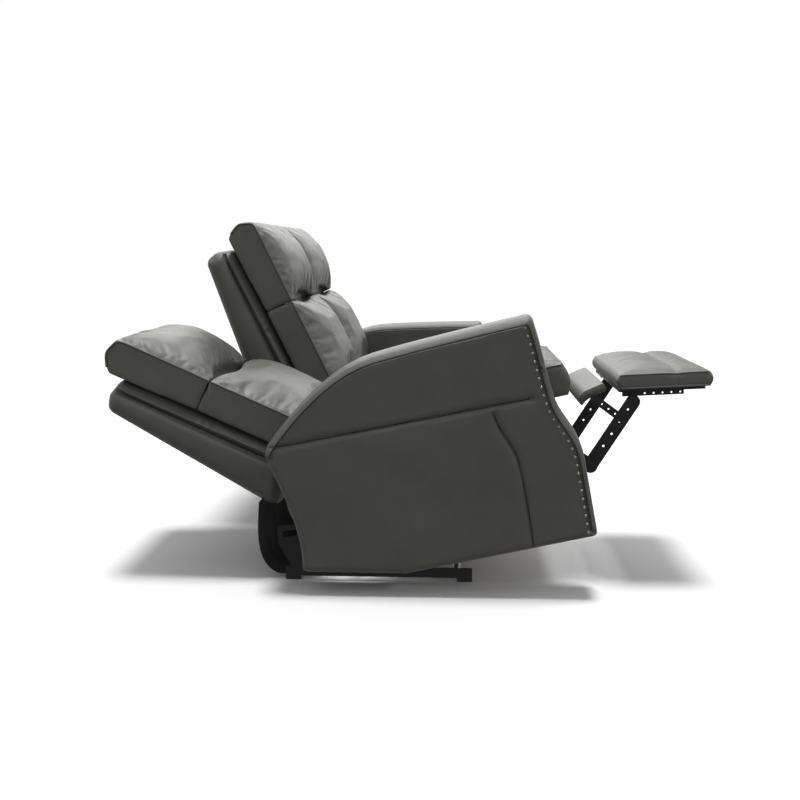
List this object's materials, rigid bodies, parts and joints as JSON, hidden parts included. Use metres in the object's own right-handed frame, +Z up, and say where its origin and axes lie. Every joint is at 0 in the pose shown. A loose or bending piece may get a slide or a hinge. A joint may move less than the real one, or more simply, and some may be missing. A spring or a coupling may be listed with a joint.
{
  "type": "reclining sofa",
  "caption": "Leather power reclining sofa with one end seat reclined: its arm, seat, back, headrest and legrest linkage move on a gliding steel base.",
  "frame": {"origin": "on the floor, under the middle of the footprint at rest", "axes": "+Z up, the sitter faces -Y, and the seats stand in a row along X with the reclined end seat at -X"},
  "size_m": [2.0864, 1.7924, 1.0786],
  "materials": {
    "side_leather": "satin smooth-grain leather on the arms and outer backs",
    "cushion_leather": "soft pebbled leather on the cushions",
    "black_steel": "black powder coat",
    "wood": "raw plywood and hardwood",
    "spring_steel": "drawn wire",
    "nail_brass": "antique pewter-brass",
    "switch_plastic": "fine-textured black plastic",
    "button_metal": "satin",
    "drive_plastic": "natural acetal",
    "drive_steel": "black",
    "dust_cloth": "black non-woven dust cloth"
  },
  "bodies": {
    "base": {"near_base_rails": "black_steel", "near_base_tubes": "black_steel", "far_base_rails": "black_steel", "far_base_tubes": "black_steel", "middle_base": "wood", "middle_seat_deck": "wood", "middle_seat_cushion": "cushion_leather", "middle_front_pad": "cushion_leather", "middle_back_shell": "side_leather", "middle_lumbar_cushion": "cushion_leather", "middle_head_cushion": "cushion_leather", "middle_rear_cloth": "dust_cloth"},
    "near_carriage": {"near_glide_carriage": "black_steel"},
    "near_seat": {"near_seat_frame": "black_steel", "near_seat_deck": "wood", "near_seat_springs": "spring_steel", "near_seat_cushion": "cushion_leather", "near_arm_frame": "wood", "near_arm_outer_panel": "side_leather", "near_arm_inner_panel": "side_leather", "near_arm_nails": "nail_brass", "near_switch_plate": "switch_plastic", "near_legrest_drive": "drive_steel", "near_rear_cloth": "dust_cloth"},
    "near_open_button_body": {"near_open_button": "button_metal"},
    "near_close_button_body": {"near_close_button": "button_metal"},
    "near_drive_block_body": {"near_drive_block": "drive_plastic"},
    "near_rear_link": {"near_rear_links": "black_steel"},
    "near_long_link": {"near_long_links": "black_steel", "near_flap": "cushion_leather"},
    "near_footrest": {"near_footrest_board": "black_steel", "near_footrest_pad": "cushion_leather"},
    "near_back": {"near_back_brackets": "black_steel", "near_back_shell": "side_leather", "near_lumbar_cushion": "cushion_leather"},
    "near_headrest": {"near_head_cushion": "cushion_leather"},
    "far_carriage": {"far_glide_carriage": "black_steel"},
    "far_seat": {"far_seat_frame": "black_steel", "far_seat_deck": "wood", "far_seat_springs": "spring_steel", "far_seat_cushion": "cushion_leather", "far_arm_frame": "wood", "far_arm_outer_panel": "side_leather", "far_arm_inner_panel": "side_leather", "far_arm_nails": "nail_brass", "far_switch_plate": "switch_plastic", "far_legrest_drive": "drive_steel", "far_rear_cloth": "dust_cloth"},
    "far_open_button_body": {"far_open_button": "button_metal"},
    "far_close_button_body": {"far_close_button": "button_metal"},
    "far_drive_block_body": {"far_drive_block": "drive_plastic"},
    "far_rear_link": {"far_rear_links": "black_steel"},
    "far_long_link": {"far_long_links": "black_steel", "far_flap": "cushion_leather"},
    "far_footrest": {"far_footrest_board": "black_steel", "far_footrest_pad": "cushion_leather"},
    "far_back": {"far_back_brackets": "black_steel", "far_back_shell": "side_leather", "far_lumbar_cushion": "cushion_leather"},
    "far_headrest": {"far_head_cushion": "cushion_leather"}
  },
  "joints": [
    {"name": "near_glide", "type": "slide", "parent": "base", "child": "near_carriage", "axis": [0, 0.9874, -0.1582], "range_m": [0, 0.217]},
    {"name": "near_tilt", "type": "hinge", "parent": "near_carriage", "child": "near_seat", "pos_m": [-0.6, 0.08373, 0.18432], "axis": [1, 0, 0], "range_deg": [0, 12.5]},
    {"name": "near_recline", "type": "hinge", "parent": "near_seat", "child": "near_back", "pos_m": [-0.6, 0.04292, 0.24049], "axis": [1, 0, 0], "range_deg": [0, 27.5], "deforming": ["near_rear_cloth"]},
    {"name": "near_headrest_tilt", "type": "hinge", "parent": "near_back", "child": "near_headrest", "pos_m": [-0.6, 0.61729, 0.53899], "axis": [1, 0, 0], "range_deg": [0, 12]},
    {"name": "near_legrest_swing", "type": "hinge", "parent": "near_seat", "child": "near_rear_link", "pos_m": [-0.6, -0.36817, 0.47912], "axis": [1, 0, 0], "range_deg": [0, 39.6]},
    {"name": "near_long_link_swing", "type": "hinge", "parent": "near_rear_link", "child": "near_long_link", "pos_m": [-0.6, -0.55961, 0.35528], "axis": [1, 0, 0], "range_deg": [-79.2, 0]},
    {"name": "near_footrest_turn", "type": "hinge", "parent": "near_long_link", "child": "near_footrest", "pos_m": [-0.6, -0.68077, 0.54842], "axis": [1, 0, 0], "range_deg": [0, 120.1]},
    {"name": "near_drive_block_slide", "type": "slide", "parent": "near_seat", "child": "near_drive_block_body", "axis": [0, 0.9763, -0.2164], "range_m": [0, 0.12]},
    {"name": "near_open_button_press", "type": "slide", "parent": "near_seat", "child": "near_open_button_body", "axis": [-1, 0, 0], "range_m": [0, 0.0015], "stiffness_N_per_m": 600, "springref_m": -0.001},
    {"name": "near_close_button_press", "type": "slide", "parent": "near_seat", "child": "near_close_button_body", "axis": [-1, 0, 0], "range_m": [0, 0.0015], "stiffness_N_per_m": 600, "springref_m": -0.001},
    {"name": "far_glide", "type": "slide", "parent": "base", "child": "far_carriage", "axis": [0, -0.9874, 0.1582], "range_m": [0, 0.217]},
    {"name": "far_tilt", "type": "hinge", "parent": "far_carriage", "child": "far_seat", "pos_m": [0.6, 0.298, 0.15], "axis": [-1, 0, 0], "range_deg": [0, 12.5]},
    {"name": "far_recline", "type": "hinge", "parent": "far_seat", "child": "far_back", "pos_m": [0.6, 0.246, 0.196], "axis": [-1, 0, 0], "range_deg": [0, 27.5], "deforming": ["far_rear_cloth"]},
    {"name": "far_headrest_tilt", "type": "hinge", "parent": "far_back", "child": "far_headrest", "pos_m": [0.6, 0.49412, 0.79387], "axis": [1, 0, 0], "range_deg": [0, 12]},
    {"name": "far_legrest_swing", "type": "hinge", "parent": "far_seat", "child": "far_rear_link", "pos_m": [0.6, -0.207, 0.34], "axis": [-1, 0, 0], "range_deg": [0, 39.6]},
    {"name": "far_long_link_swing", "type": "hinge", "parent": "far_rear_link", "child": "far_long_link", "pos_m": [0.6, -0.22687, 0.11287], "axis": [-1, 0, 0], "range_deg": [-79.2, 0]},
    {"name": "far_footrest_turn", "type": "hinge", "parent": "far_long_link", "child": "far_footrest", "pos_m": [0.6, -0.24674, 0.34], "axis": [-1, 0, 0], "range_deg": [0, 120.1]},
    {"name": "far_drive_block_slide", "type": "slide", "parent": "far_seat", "child": "far_drive_block_body", "axis": [0, -1, 0], "range_m": [0, 0.12]},
    {"name": "far_open_button_press", "type": "slide", "parent": "far_seat", "child": "far_open_button_body", "axis": [1, 0, 0], "range_m": [0, 0.0015], "stiffness_N_per_m": 600, "springref_m": -0.001},
    {"name": "far_close_button_press", "type": "slide", "parent": "far_seat", "child": "far_close_button_body", "axis": [1, 0, 0], "range_m": [0, 0.0015], "stiffness_N_per_m": 600, "springref_m": -0.001}
  ],
  "couplings": [
    {"joint": "near_tilt", "follows": "near_glide", "rad_per_m": 1.0054},
    {"joint": "near_recline", "follows": "near_glide", "rad_per_m": 2.2118},
    {"joint": "near_long_link_swing", "follows": "near_legrest_swing", "ratio": -2},
    {"joint": "near_footrest_turn", "follows": "near_legrest_swing", "ratio": 3.0328},
    {"joint": "near_drive_block_slide", "follows": "near_legrest_swing", "m_per_rad": 0.17362},
    {"joint": "far_tilt", "follows": "far_glide", "rad_per_m": 1.0054},
    {"joint": "far_recline", "follows": "far_glide", "rad_per_m": 2.2118},
    {"joint": "far_long_link_swing", "follows": "far_legrest_swing", "ratio": -2},
    {"joint": "far_footrest_turn", "follows": "far_legrest_swing", "ratio": 3.0328},
    {"joint": "far_drive_block_slide", "follows": "far_legrest_swing", "m_per_rad": 0.17362}
  ]
}
